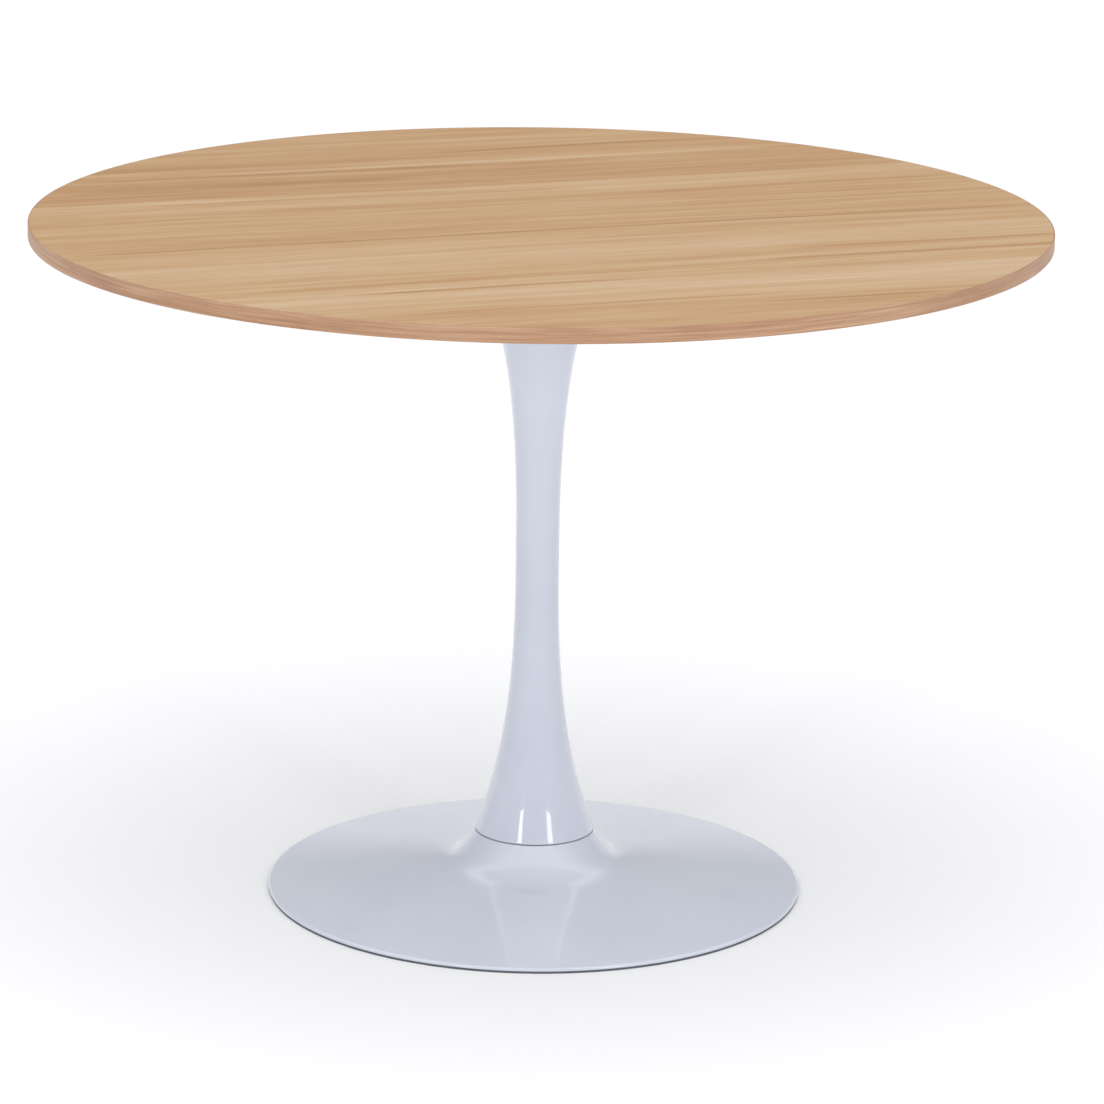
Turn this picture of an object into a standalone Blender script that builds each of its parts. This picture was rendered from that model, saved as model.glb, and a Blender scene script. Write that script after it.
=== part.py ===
"""Round pedestal dining table on a trumpet foot.

A veneered board is screwed to a four-arm steel spider. The spider's hub, a waisted column and a spun
steel foot are stacked on one axis, and a single tie rod pulls them together against a cast ballast
that sits inside the foot. The foot's edge stands on a rubber ring.

Units are metres, +Z is up, and the origin is the centre of the footprint, on the floor.
"""

import math

import bmesh
import bpy
from mathutils import Matrix, Vector

# Overall sizes
TABLE_HEIGHT = 0.755
TOP_DIAMETER = 1.100
BASE_DIAMETER = 0.590

# Board, from the outside in
TOP_THICKNESS = 0.016
VENEER = 0.0007
EDGE_BAND = 0.0015
EDGE_ROUND = 0.0010

# Column
COLUMN_WALL = 0.0025
WAIST_DIAMETER = 0.048
WAIST_SHARE = 0.49          # height of the waist, as a share of the column's length
COLUMN_END_DIAMETER = 0.132
FOOT_POWER = 2.85           # how late the lower flare opens
HEAD_POWER = 2.80           # how late the upper flare opens

# Foot
SEAM_HEIGHT = 0.0673        # lower edge of the column
SEAM_GAP = 0.0013           # groove between column and foot
GASKET_INSET = 0.0013       # how far the soft ring sits back in that groove
SHELL_WALL = 0.0018
RIM_HEIGHT = 0.0055         # top of the foot at its edge
RIM_ROUND = 0.0030
RIM_SLOPE = 0.120           # rise per run at the edge
NECK_SLOPE = 1.60           # rise per run at the neck
TRUMPET_BLEND = 0.0075      # how softly the neck's slope turns into the edge's
RUBBER_HEIGHT = 0.0020      # part of the ring that shows below the shell
RUBBER_RECESS = 0.0004
RUBBER_WIDTH = 0.0080
RUBBER_UPSTAND = 0.0016

# Ballast
BALLAST_DIAMETER = 0.300
BALLAST_BOTTOM = 0.0035
BALLAST_CLEARANCE = 0.0030  # below the inside of the shell
BALLAST_BOSS_DIAMETER = 0.104
SPIGOT_DIAMETER = 0.080
SPIGOT_HEIGHT = 0.0050      # how far a spigot enters the column's end
SPIGOT_CLEARANCE = 0.0005
NUT_POCKET_DIAMETER = 0.064
NUT_POCKET_DEPTH = 0.0300

# Spider under the board
HUB_DIAMETER = 0.124
HUB_THICKNESS = 0.006
ARM_REACH = 0.320
ARM_START = 0.024
ARM_WIDTH_AT_HUB = 0.040
ARM_WIDTH_AT_TIP = 0.030
ARM_DEPTH_AT_HUB = 0.024
ARM_DEPTH_AT_TIP = 0.009
ARM_SHEET = 0.0025
ARM_COUNT = 4
ARM_BEARING = math.radians(45.0)
SCREW_RADII = (0.125, 0.285)

# M6 screws and the threaded inserts that take them
SCREW_RADIUS = 0.0026       # mean radius of the thread
SCREW_HEAD_RADIUS = 0.0060
SCREW_HEAD_HEIGHT = 0.0034
SCREW_GRIP = 0.0100         # thread that enters the insert
SCREW_POINT = 0.0008
HEX_SOCKET_RADIUS = 0.0023
HEX_SOCKET_DEPTH = 0.0020
INSERT_RADIUS = 0.0045
INSERT_FLANGE_RADIUS = 0.0060
INSERT_FLANGE = 0.0012
INSERT_LENGTH = 0.0115
INSERT_RING_COUNT = 2
INSERT_RING_DEPTH = 0.0006

# M12 tie rod and its fittings
ROD_RADIUS = 0.0057         # mean radius of the thread
ROD_PROUD = 0.0035          # rod showing past a nut
NUT_ACROSS_FLATS = 0.019
NUT_HEIGHT = 0.0100
WASHER_RADIUS = 0.012
WASHER_THICKNESS = 0.0025
PLATE_WASHER_RADIUS = 0.027
PLATE_WASHER_THICKNESS = 0.0040
SPRING_WASHER_RADIUS = 0.0105
SPRING_WASHER_THICKNESS = 0.0025
SPRING_WASHER_SPLIT = math.radians(14.0)

# Fits
TOUCH = 0.0003              # gap left between two pieces that touch
THREAD_CLEARANCE = 0.0003
BOLT_CLEARANCE = 0.0007

# Smoothness of round pieces, in sides
BOARD_SIDES = 64
SHELL_SIDES = 48
COLUMN_SIDES = 32
FASTENER_SIDES = 12
COLUMN_STEPS = 16
TRUMPET_STEPS = 12
BALLAST_STEPS = 8

# Heights that follow from the sizes above
BOARD_UNDERSIDE = TABLE_HEIGHT - TOP_THICKNESS
ARM_TOP = BOARD_UNDERSIDE - TOUCH
HUB_TOP = ARM_TOP - ARM_DEPTH_AT_HUB - TOUCH
COLUMN_TOP = HUB_TOP - HUB_THICKNESS - TOUCH
NECK_TOP = SEAM_HEIGHT - SEAM_GAP
BOSS_TOP = NECK_TOP - SHELL_WALL - TOUCH
POCKET_CEILING = BALLAST_BOTTOM + NUT_POCKET_DEPTH
BASE_RADIUS = BASE_DIAMETER / 2
NECK_RADIUS = COLUMN_END_DIAMETER / 2
SPIGOT_RADIUS = SPIGOT_DIAMETER / 2
ROD_HOLE_RADIUS = ROD_RADIUS + THREAD_CLEARANCE + BOLT_CLEARANCE


def clear_scene():
    for thing in list(bpy.data.objects):
        bpy.data.objects.remove(thing, do_unlink=True)


def material(name, colour, roughness, metallic=0.0):
    made = bpy.data.materials.new(name)
    made.use_nodes = True
    shader = made.node_tree.nodes["Principled BSDF"]
    shader.inputs["Base Color"].default_value = (*colour, 1.0)
    shader.inputs["Roughness"].default_value = roughness
    shader.inputs["Metallic"].default_value = metallic
    return made


def object_from(name, builder, finish, smooth_angle=40.0):
    """Turns a bmesh into a named object, shaded smooth up to the given angle."""
    bmesh.ops.recalc_face_normals(builder, faces=builder.faces)
    mesh = bpy.data.meshes.new(name)
    builder.to_mesh(mesh)
    builder.free()
    mesh.shade_smooth()
    mesh.set_sharp_from_angle(angle=math.radians(smooth_angle))
    made = bpy.data.objects.new(name, mesh)
    made.data.materials.append(finish)
    bpy.context.scene.collection.objects.link(made)
    return made


def turned(name, outline, finish, sides, closed=True):
    """Spins an outline of (radius, height) points round Z. An open outline starts and ends on the axis."""
    builder = bmesh.new()
    points = [builder.verts.new((radius, 0.0, height)) for radius, height in outline]
    following = points[1:] + points[:1] if closed else points[1:]
    edges = [builder.edges.new(pair) for pair in zip(points, following)]
    bmesh.ops.spin(builder, geom=points + edges, axis=(0, 0, 1), cent=(0, 0, 0),
                   angle=math.tau, steps=sides, use_merge=True)
    bmesh.ops.remove_doubles(builder, verts=builder.verts, dist=1e-6)
    return object_from(name, builder, finish)


def turned_sheet(name, outline, finish, sides, wall):
    """Spins an open outline and gives the sheet its wall on the inside."""
    made = turned(name, outline, finish, sides, closed=False)
    solidify = made.modifiers.new("wall", "SOLIDIFY")
    solidify.thickness = wall
    solidify.offset = -1.0
    solidify.use_even_offset = True
    return made


def ring_outline(inner, outer, bottom, top):
    return [(inner, bottom), (outer, bottom), (outer, top), (inner, top)]


def arc(centre, radius, start, end, steps):
    """Points of an arc in the (radius, height) plane, its angles in degrees."""
    for step in range(steps + 1):
        angle = math.radians(start + (end - start) * step / steps)
        yield (centre[0] + radius * math.cos(angle), centre[1] + radius * math.sin(angle))


def drill(target, holes, name):
    """Cuts round holes, each (x, y, radius, bottom, top), with one Boolean."""
    builder = bmesh.new()
    for x, y, radius, bottom, top in holes:
        place = Matrix.Translation((x, y, (bottom + top) / 2))
        bmesh.ops.create_cone(builder, cap_ends=True, segments=FASTENER_SIDES, radius1=radius,
                              radius2=radius, depth=top - bottom, matrix=place)
    cutter = object_from(name, builder, target.data.materials[0])
    cutter.hide_render = True
    cutter.display_type = "WIRE"
    cut = target.modifiers.new(name, "BOOLEAN")
    cut.operation = "DIFFERENCE"
    cut.solver = "EXACT"
    cut.object = cutter
    return cutter


def trumpet(radius):
    """Height of the foot's outer surface: a hyperbola between the edge's shallow cone and the neck's steep one."""
    shallow = RIM_HEIGHT + RIM_SLOPE * (BASE_RADIUS - radius)
    sweep = NECK_TOP - RIM_HEIGHT - RIM_SLOPE * (BASE_RADIUS - NECK_RADIUS)
    # The steep cone starts this much above the shallow one, so that the curve meets the neck's edge.
    lead = sweep - TRUMPET_BLEND ** 2 / sweep
    half = (lead - (NECK_SLOPE - RIM_SLOPE) * (radius - NECK_RADIUS)) / 2
    return shallow + half + math.hypot(half, TRUMPET_BLEND)


def inside_trumpet(radius, inset):
    """The point that lies the given distance inside the foot's outer surface, square to it."""
    step = 1e-5
    slope = (trumpet(radius - step) - trumpet(radius + step)) / (2 * step)
    length = math.hypot(slope, 1.0)
    return (radius - inset * slope / length, trumpet(radius) - inset / length)


def column_radius(height):
    """Radius of the column's outer surface, a waist that flares to both ends by a power of the distance."""
    length = COLUMN_TOP - SEAM_HEIGHT
    waist = SEAM_HEIGHT + WAIST_SHARE * length
    flare = (COLUMN_END_DIAMETER - WAIST_DIAMETER) / 2
    if height < waist:
        share, power = (waist - height) / (waist - SEAM_HEIGHT), FOOT_POWER
    else:
        share, power = (height - waist) / (COLUMN_TOP - waist), HEAD_POWER
    return WAIST_DIAMETER / 2 + flare * share ** power


def screw_places():
    """(number, x, y) of each screw, two along each arm."""
    number = 0
    for arm in range(ARM_COUNT):
        bearing = ARM_BEARING + arm * math.tau / ARM_COUNT
        for radius in SCREW_RADII:
            number += 1
            yield number, radius * math.cos(bearing), radius * math.sin(bearing)


def make_board(finishes):
    """The board: a fibreboard core, a face veneer, a white backing sheet and an edge band."""
    core_radius = TOP_DIAMETER / 2 - EDGE_BAND - TOUCH
    core_bottom = BOARD_UNDERSIDE + VENEER + TOUCH
    core_top = TABLE_HEIGHT - VENEER - TOUCH
    core = turned("tabletop_core",
                  [(0, core_bottom), (core_radius, core_bottom), (core_radius, core_top), (0, core_top)],
                  finishes["fibreboard"], BOARD_SIDES, closed=False)
    turned("tabletop_face_veneer",
           [(0, TABLE_HEIGHT - VENEER), (core_radius, TABLE_HEIGHT - VENEER),
            (core_radius, TABLE_HEIGHT), (0, TABLE_HEIGHT)],
           finishes["wood"], BOARD_SIDES, closed=False)
    backing = turned("tabletop_backing_sheet",
                     [(0, BOARD_UNDERSIDE), (core_radius, BOARD_UNDERSIDE),
                      (core_radius, BOARD_UNDERSIDE + VENEER), (0, BOARD_UNDERSIDE + VENEER)],
                     finishes["melamine"], BOARD_SIDES, closed=False)
    outer = TOP_DIAMETER / 2
    inner = outer - EDGE_BAND
    corner = outer - EDGE_ROUND
    outline = [(inner, BOARD_UNDERSIDE)]
    outline += arc((corner, BOARD_UNDERSIDE + EDGE_ROUND), EDGE_ROUND, -90, 0, 2)
    outline += arc((corner, TABLE_HEIGHT - EDGE_ROUND), EDGE_ROUND, 0, 90, 2)
    outline += [(inner, TABLE_HEIGHT)]
    turned("tabletop_edge_band", outline, finishes["wood"], BOARD_SIDES)

    flange_hole = INSERT_FLANGE_RADIUS + TOUCH
    body_hole = INSERT_RADIUS + TOUCH
    body_end = BOARD_UNDERSIDE + INSERT_LENGTH + TOUCH
    flange_end = BOARD_UNDERSIDE + INSERT_FLANGE + TOUCH
    below = BOARD_UNDERSIDE - BOLT_CLEARANCE
    places = list(screw_places())
    drill(core, [(x, y, body_hole, below, body_end) for _, x, y in places], "cut_insert_bodies")
    drill(core, [(x, y, flange_hole, below, flange_end) for _, x, y in places], "cut_insert_flanges")
    drill(backing, [(x, y, flange_hole, below, flange_end) for _, x, y in places], "cut_backing")


def make_inserts(finishes):
    """Flanged M6 inserts with grip rings, let into the board from below."""
    bore = SCREW_RADIUS + THREAD_CLEARANCE
    root = INSERT_RADIUS - INSERT_RING_DEPTH
    ring_pitch = (INSERT_LENGTH - INSERT_FLANGE) / INSERT_RING_COUNT
    outline = [(bore, 0), (INSERT_FLANGE_RADIUS, 0), (INSERT_FLANGE_RADIUS, INSERT_FLANGE)]
    for ring in range(INSERT_RING_COUNT):
        start = INSERT_FLANGE + ring * ring_pitch
        outline += [(root, start), (INSERT_RADIUS, start + ring_pitch)]
    outline += [(bore, INSERT_LENGTH)]
    first = turned("insert_nut_1", outline, finishes["zinc"], FASTENER_SIDES)
    for number, x, y in screw_places():
        made = first if number == 1 else bpy.data.objects.new(f"insert_nut_{number}", first.data)
        if number > 1:
            bpy.context.scene.collection.objects.link(made)
        made.location = (x, y, BOARD_UNDERSIDE)


def make_screws(finishes):
    """Button-head M6 screws with a hexagon socket, driven up through the arms into the inserts."""
    seat = ARM_TOP - ARM_SHEET - TOUCH
    tip = BOARD_UNDERSIDE + SCREW_GRIP
    edge = SCREW_HEAD_RADIUS
    length = tip - seat
    outline = [(0, -SCREW_HEAD_HEIGHT), (edge * 0.62, -SCREW_HEAD_HEIGHT),
               (edge * 0.90, -SCREW_HEAD_HEIGHT * 0.62), (edge, -SCREW_HEAD_HEIGHT * 0.20), (edge, 0),
               (SCREW_RADIUS, 0), (SCREW_RADIUS, length - SCREW_POINT),
               (SCREW_RADIUS - SCREW_POINT, length), (0, length)]
    first = turned("top_screw_1", outline, finishes["zinc"], FASTENER_SIDES, closed=False)
    socket_builder = bmesh.new()
    bmesh.ops.create_cone(socket_builder, cap_ends=True, segments=6, radius1=HEX_SOCKET_RADIUS,
                          radius2=HEX_SOCKET_RADIUS, depth=2 * HEX_SOCKET_DEPTH,
                          matrix=Matrix.Translation((0, 0, -SCREW_HEAD_HEIGHT)))
    socket = object_from("cut_hex_socket", socket_builder, finishes["zinc"])
    socket.hide_render = True
    socket.display_type = "WIRE"
    for number, x, y in screw_places():
        made = first if number == 1 else bpy.data.objects.new(f"top_screw_{number}", first.data)
        if number > 1:
            bpy.context.scene.collection.objects.link(made)
        made.location = (x, y, seat)
        own_socket = bpy.data.objects.new(f"cut_hex_socket_{number}", socket.data)
        bpy.context.scene.collection.objects.link(own_socket)
        own_socket.hide_render = True
        own_socket.display_type = "WIRE"
        own_socket.parent = made
        cut = made.modifiers.new("hexagon_socket", "BOOLEAN")
        cut.operation = "DIFFERENCE"
        cut.solver = "EXACT"
        cut.object = own_socket


def make_spider(finishes):
    """The hub plate with its spigot, and four pressed channel arms that stand on it."""
    spigot_bottom = COLUMN_TOP - SPIGOT_HEIGHT
    turned("spider_hub",
           [(ROD_HOLE_RADIUS, spigot_bottom), (SPIGOT_RADIUS, spigot_bottom),
            (SPIGOT_RADIUS, HUB_TOP - HUB_THICKNESS), (HUB_DIAMETER / 2, HUB_TOP - HUB_THICKNESS),
            (HUB_DIAMETER / 2, HUB_TOP), (ROD_HOLE_RADIUS, HUB_TOP)],
           finishes["white_paint"], COLUMN_SIDES)

    def channel(distance, width, depth):
        half, sheet = width / 2, ARM_SHEET
        return [(distance, y, z) for y, z in (
            (-half, -depth), (-half, 0), (half, 0), (half, -depth),
            (half - sheet, -depth), (half - sheet, -sheet),
            (sheet - half, -sheet), (sheet - half, -depth))]

    for arm in range(ARM_COUNT):
        bearing = ARM_BEARING + arm * math.tau / ARM_COUNT
        builder = bmesh.new()
        stations = [
            channel(ARM_START, ARM_WIDTH_AT_HUB, ARM_DEPTH_AT_HUB),
            channel(HUB_DIAMETER / 2, ARM_WIDTH_AT_HUB, ARM_DEPTH_AT_HUB),
            channel(ARM_REACH, ARM_WIDTH_AT_TIP, ARM_DEPTH_AT_TIP),
        ]
        rings = [[builder.verts.new(point) for point in station] for station in stations]
        for near, far in zip(rings, rings[1:]):
            for corner in range(len(near)):
                following = (corner + 1) % len(near)
                builder.faces.new((near[corner], near[following], far[following], far[corner]))
        builder.faces.new(rings[0])
        builder.faces.new(rings[-1])
        made = object_from(f"spider_arm_{arm + 1}", builder, finishes["white_paint"], 30.0)
        made.location = (0, 0, ARM_TOP)
        made.rotation_euler = (0, 0, bearing)
        hole = SCREW_RADIUS + BOLT_CLEARANCE
        cutter = drill(made, [(radius, 0, hole, -2 * ARM_SHEET, ARM_SHEET) for radius in SCREW_RADII],
                       f"cut_arm_{arm + 1}")
        cutter.parent = made


def make_column(finishes):
    """The waisted column, a sheet with a lip turned in at each end, and the soft ring at its foot."""
    lip = SPIGOT_RADIUS + SPIGOT_CLEARANCE
    outline = [(lip, SEAM_HEIGHT)]
    for step in range(COLUMN_STEPS + 1):
        # Steps gather towards both ends, where the curve is tightest.
        share = (1 - math.cos(math.pi * step / COLUMN_STEPS)) / 2
        height = SEAM_HEIGHT + share * (COLUMN_TOP - SEAM_HEIGHT)
        outline.append((column_radius(height), height))
    outline.append((lip, COLUMN_TOP))
    turned_sheet("column_shell", outline, finishes["white_paint"], COLUMN_SIDES, COLUMN_WALL)
    gasket_outer = NECK_RADIUS - GASKET_INSET
    turned("column_gasket",
           ring_outline(SPIGOT_RADIUS + SPIGOT_CLEARANCE, gasket_outer, NECK_TOP + TOUCH, SEAM_HEIGHT - TOUCH),
           finishes["grey_plastic"], COLUMN_SIDES)


def make_foot(finishes):
    """The trumpet-shaped shell, the rubber ring under its edge and the ballast inside it."""
    outline = [(SPIGOT_RADIUS + SPIGOT_CLEARANCE, NECK_TOP)]
    edge_start = BASE_RADIUS - RIM_ROUND
    for step in range(TRUMPET_STEPS + 1):
        # Steps gather at the neck, where the sweep is tightest.
        share = (step / TRUMPET_STEPS) ** 2.2
        radius = NECK_RADIUS + share * (edge_start - NECK_RADIUS)
        outline.append((radius, trumpet(radius)))
    centre = (edge_start, trumpet(edge_start) - RIM_ROUND)
    outline += list(arc(centre, RIM_ROUND, 90, 0, 3))[1:]
    outline.append((BASE_RADIUS, RUBBER_HEIGHT + TOUCH))
    turned_sheet("base_shell", outline, finishes["white_paint"], SHELL_SIDES, SHELL_WALL)

    outer = BASE_RADIUS - RUBBER_RECESS
    wall = BASE_RADIUS - SHELL_WALL - TOUCH
    turned("base_rubber_ring",
           [(outer - RUBBER_WIDTH, 0), (outer, 0), (outer, RUBBER_HEIGHT), (wall, RUBBER_HEIGHT),
            (wall, RUBBER_HEIGHT + RUBBER_UPSTAND / 2), (wall - RUBBER_UPSTAND, RUBBER_HEIGHT + RUBBER_UPSTAND / 2),
            (wall - RUBBER_UPSTAND, RUBBER_HEIGHT), (outer - RUBBER_WIDTH, RUBBER_HEIGHT)],
           finishes["rubber"], SHELL_SIDES)

    inset = SHELL_WALL + BALLAST_CLEARANCE
    boss = BALLAST_BOSS_DIAMETER / 2
    rim = BALLAST_DIAMETER / 2
    pocket = NUT_POCKET_DIAMETER / 2
    outline = [(ROD_HOLE_RADIUS, POCKET_CEILING), (pocket, POCKET_CEILING), (pocket, BALLAST_BOTTOM),
               (inside_trumpet(rim, inset)[0], BALLAST_BOTTOM)]
    # The slope's steps run outside in, and gather where it turns up to the boss.
    slope_end = NECK_RADIUS + BALLAST_CLEARANCE
    for step in range(BALLAST_STEPS + 1):
        share = (1 - step / BALLAST_STEPS) ** 1.8
        outline.append(inside_trumpet(slope_end + share * (rim - slope_end), inset))
    outline += [(boss, BOSS_TOP), (SPIGOT_RADIUS, BOSS_TOP), (SPIGOT_RADIUS, SEAM_HEIGHT + SPIGOT_HEIGHT),
                (ROD_HOLE_RADIUS, SEAM_HEIGHT + SPIGOT_HEIGHT)]
    turned("ballast_casting", outline, finishes["cast_iron"], COLUMN_SIDES)


def hex_nut(name, bottom, finish):
    builder = bmesh.new()
    corner_radius = NUT_ACROSS_FLATS / math.sqrt(3)
    place = Matrix.Translation((0, 0, bottom + NUT_HEIGHT / 2))
    bmesh.ops.create_cone(builder, cap_ends=True, segments=6, radius1=corner_radius,
                          radius2=corner_radius, depth=NUT_HEIGHT, matrix=place)
    made = object_from(name, builder, finish, 20.0)
    drill(made, [(0, 0, ROD_RADIUS + THREAD_CLEARANCE, bottom - TOUCH, bottom + NUT_HEIGHT + TOUCH)],
          f"cut_{name}")


def spring_washer(name, bottom, finish):
    """A split ring: a rectangle swept round Z and closed at both ends of the split."""
    builder = bmesh.new()
    outline = ring_outline(ROD_RADIUS + BOLT_CLEARANCE, SPRING_WASHER_RADIUS, bottom,
                           bottom + SPRING_WASHER_THICKNESS)
    corners = [builder.verts.new((radius, 0, height)) for radius, height in outline]
    face = builder.faces.new(corners)
    bmesh.ops.rotate(builder, verts=corners, cent=(0, 0, 0),
                     matrix=Matrix.Rotation(SPRING_WASHER_SPLIT / 2, 3, "Z"))
    swept = bmesh.ops.spin(builder, geom=[face], axis=(0, 0, 1), cent=(0, 0, 0),
                           angle=math.tau - SPRING_WASHER_SPLIT, steps=FASTENER_SIDES + 4)
    assert swept["geom_last"]
    object_from(name, builder, finish)


def make_tie_rod(finishes):
    """The rod through the whole stack, with a washer, a spring washer and a nut at each end."""
    zinc = finishes["zinc"]
    washer_bore = ROD_RADIUS + BOLT_CLEARANCE

    height = HUB_TOP + TOUCH
    turned("top_washer", ring_outline(washer_bore, WASHER_RADIUS, height, height + WASHER_THICKNESS),
           zinc, FASTENER_SIDES * 2)
    height += WASHER_THICKNESS + TOUCH
    spring_washer("top_spring_washer", height, zinc)
    height += SPRING_WASHER_THICKNESS + TOUCH
    hex_nut("top_nut", height, zinc)
    rod_top = height + NUT_HEIGHT + ROD_PROUD

    height = POCKET_CEILING - TOUCH - PLATE_WASHER_THICKNESS
    turned("bottom_plate_washer",
           ring_outline(washer_bore, PLATE_WASHER_RADIUS, height, height + PLATE_WASHER_THICKNESS),
           zinc, FASTENER_SIDES * 2)
    height -= TOUCH + SPRING_WASHER_THICKNESS
    spring_washer("bottom_spring_washer", height, zinc)
    height -= TOUCH + NUT_HEIGHT
    hex_nut("bottom_nut", height, zinc)
    rod_bottom = height - ROD_PROUD

    chamfer = ROD_RADIUS / 4
    turned("tie_rod",
           [(0, rod_bottom), (ROD_RADIUS - chamfer, rod_bottom), (ROD_RADIUS, rod_bottom + chamfer),
            (ROD_RADIUS, rod_top - chamfer), (ROD_RADIUS - chamfer, rod_top), (0, rod_top)],
           zinc, FASTENER_SIDES, closed=False)


def main():
    clear_scene()
    finishes = {
        "wood": material("oak_effect_veneer", (0.58, 0.39, 0.23), 0.45),
        "fibreboard": material("fibreboard", (0.42, 0.30, 0.19), 0.80),
        "melamine": material("white_melamine", (0.78, 0.78, 0.76), 0.40),
        "white_paint": material("white_gloss_paint", (0.66, 0.68, 0.74), 0.18),
        "grey_plastic": material("grey_plastic", (0.42, 0.43, 0.46), 0.50),
        "rubber": material("black_rubber", (0.03, 0.03, 0.035), 0.75),
        "cast_iron": material("cast_iron", (0.09, 0.09, 0.10), 0.60, 0.8),
        "zinc": material("zinc_plated_steel", (0.62, 0.62, 0.60), 0.35, 1.0),
    }
    make_board(finishes)
    make_inserts(finishes)
    make_screws(finishes)
    make_spider(finishes)
    make_column(finishes)
    make_foot(finishes)
    make_tie_rod(finishes)


main()
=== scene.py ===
import math

import bmesh
import bpy
import numpy as np
from mathutils import Matrix, Vector


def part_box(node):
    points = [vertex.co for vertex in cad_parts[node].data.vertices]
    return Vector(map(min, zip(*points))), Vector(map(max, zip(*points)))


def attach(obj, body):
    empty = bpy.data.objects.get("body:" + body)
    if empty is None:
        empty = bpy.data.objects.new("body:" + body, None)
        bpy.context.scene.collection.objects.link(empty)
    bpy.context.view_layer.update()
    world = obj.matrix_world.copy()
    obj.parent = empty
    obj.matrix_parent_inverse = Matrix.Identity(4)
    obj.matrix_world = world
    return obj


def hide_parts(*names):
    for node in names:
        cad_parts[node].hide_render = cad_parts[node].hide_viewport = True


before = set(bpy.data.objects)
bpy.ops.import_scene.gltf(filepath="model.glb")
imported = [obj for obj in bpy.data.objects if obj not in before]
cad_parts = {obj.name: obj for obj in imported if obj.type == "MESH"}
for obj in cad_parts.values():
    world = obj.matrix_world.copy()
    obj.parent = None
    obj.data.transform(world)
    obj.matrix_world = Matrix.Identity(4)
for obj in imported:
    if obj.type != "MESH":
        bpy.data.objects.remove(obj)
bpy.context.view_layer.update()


# ---- Ballast ----
# A disc of grey iron, sand cast, that lies inside the foot and keeps the table from tipping. Its top
# follows the inside of the foot, and its boss and spigot, faced on a lathe, centre the foot and column.
MM = 0.001


def srgb(code):
    """A hex colour such as "#d8dbe2" as linear red, green, blue and alpha."""
    value = np.array([int(code[place:place + 2], 16) for place in (1, 3, 5)]) / 255
    linear = np.where(value <= 0.04045, value / 12.92, ((value + 0.055) / 1.055) ** 2.4)
    return (*linear.tolist(), 1.0)


def wire(made, node, inputs):
    """Gives a node's sockets their values, or links to another node's outputs."""
    for socket, value in inputs.items():
        if isinstance(value, bpy.types.NodeSocket):
            made.node_tree.links.new(value, node.inputs[socket])
        else:
            node.inputs[socket].default_value = value


def add(made, kind, inputs, stops=(), **settings):
    """Adds a shader node to a material with its settings, links and, on a ramp, its stops."""
    node = made.node_tree.nodes.new("ShaderNode" + kind)
    for setting, value in settings.items():
        setattr(node, setting, value)
    if stops:
        ramp = node.color_ramp.elements
        while len(ramp) < len(stops):
            ramp.new(0.5)
        for element, (place, colour) in zip(ramp, stops):
            element.position = place
            element.color = colour
    wire(made, node, inputs)
    return node.outputs


def finish(name, inputs):
    """The named material, new if need be, with these values and links on its Principled shader."""
    made = bpy.data.materials.get(name) or bpy.data.materials.new(name)
    made.use_nodes = True
    wire(made, made.node_tree.nodes["Principled BSDF"], inputs)
    return made


def skin(name, points, wrap_rows=True, caps=False, sharp=35.0):
    """A mesh on a grid of points, each cell one quad. Columns join up, and so do rows where they wrap;
    points that meet on the axis are merged, and the ends of an open row are closed with a face each."""
    rows, columns = points.shape[:2]
    row = np.arange(rows if wrap_rows else rows - 1)[:, None]
    column = np.arange(columns)[None, :]
    next_row, next_column = (row + 1) % rows, (column + 1) % columns
    quads = np.stack([row * columns + column, row * columns + next_column,
                      next_row * columns + next_column, next_row * columns + column], axis=-1)
    faces = quads.reshape(-1, 4).tolist()
    if caps:
        faces += [list(range(columns)), list(range((rows - 1) * columns, rows * columns))]
    mesh = bpy.data.meshes.new(name)
    mesh.from_pydata(points.reshape(-1, 3), [], faces)
    work = bmesh.new()
    work.from_mesh(mesh)
    bmesh.ops.remove_doubles(work, verts=work.verts, dist=0.002 * MM)
    bmesh.ops.recalc_face_normals(work, faces=work.faces)
    work.to_mesh(mesh)
    work.free()
    mesh.shade_smooth()
    mesh.set_sharp_from_angle(angle=math.radians(sharp))
    piece = bpy.data.objects.new(name, mesh)
    bpy.context.scene.collection.objects.link(piece)
    return piece


def softened(corners, radii, steps=4):
    """A closed outline whose corners are replaced by short curves. Each is a parabola from one side to
    the next: (1-t)^2 times its start, 2t(1-t) times the corner and t^2 times its end."""
    corners = np.asarray(corners, float)
    radii = np.broadcast_to(np.asarray(radii, float), corners.shape[:-1])[..., None]
    before = np.roll(corners, 1, axis=-2) - corners
    after = np.roll(corners, -1, axis=-2) - corners
    start = corners + before / np.linalg.norm(before, axis=-1, keepdims=True) * radii
    end = corners + after / np.linalg.norm(after, axis=-1, keepdims=True) * radii
    t = np.linspace(0, 1, steps + 1)[:, None]
    curve = ((1 - t) ** 2 * start[..., None, :] + 2 * t * (1 - t) * corners[..., None, :]
             + t ** 2 * end[..., None, :])
    return curve.reshape(*corners.shape[:-2], -1, 2)


def full_turn(sides):
    """Angles round Z, evenly spaced, from 0 to just short of a full turn."""
    return np.arange(sides) * (math.tau / sides)


def about_axis(radius, turn, height):
    """Points round Z: x is the radius times the turn's cosine, y times its sine, and z the height."""
    return np.stack(np.broadcast_arrays(radius * np.cos(turn), radius * np.sin(turn), height), axis=-1)


def turned(outline, sides):
    """A grid of points: an outline of (radius, height) carried round Z, as on a lathe."""
    return about_axis(outline[:, 0, None], full_turn(sides), outline[:, 1, None])


def box(node):
    """A CAD node's lowest and highest corners."""
    return (Vector(corner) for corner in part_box(node))


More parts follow.
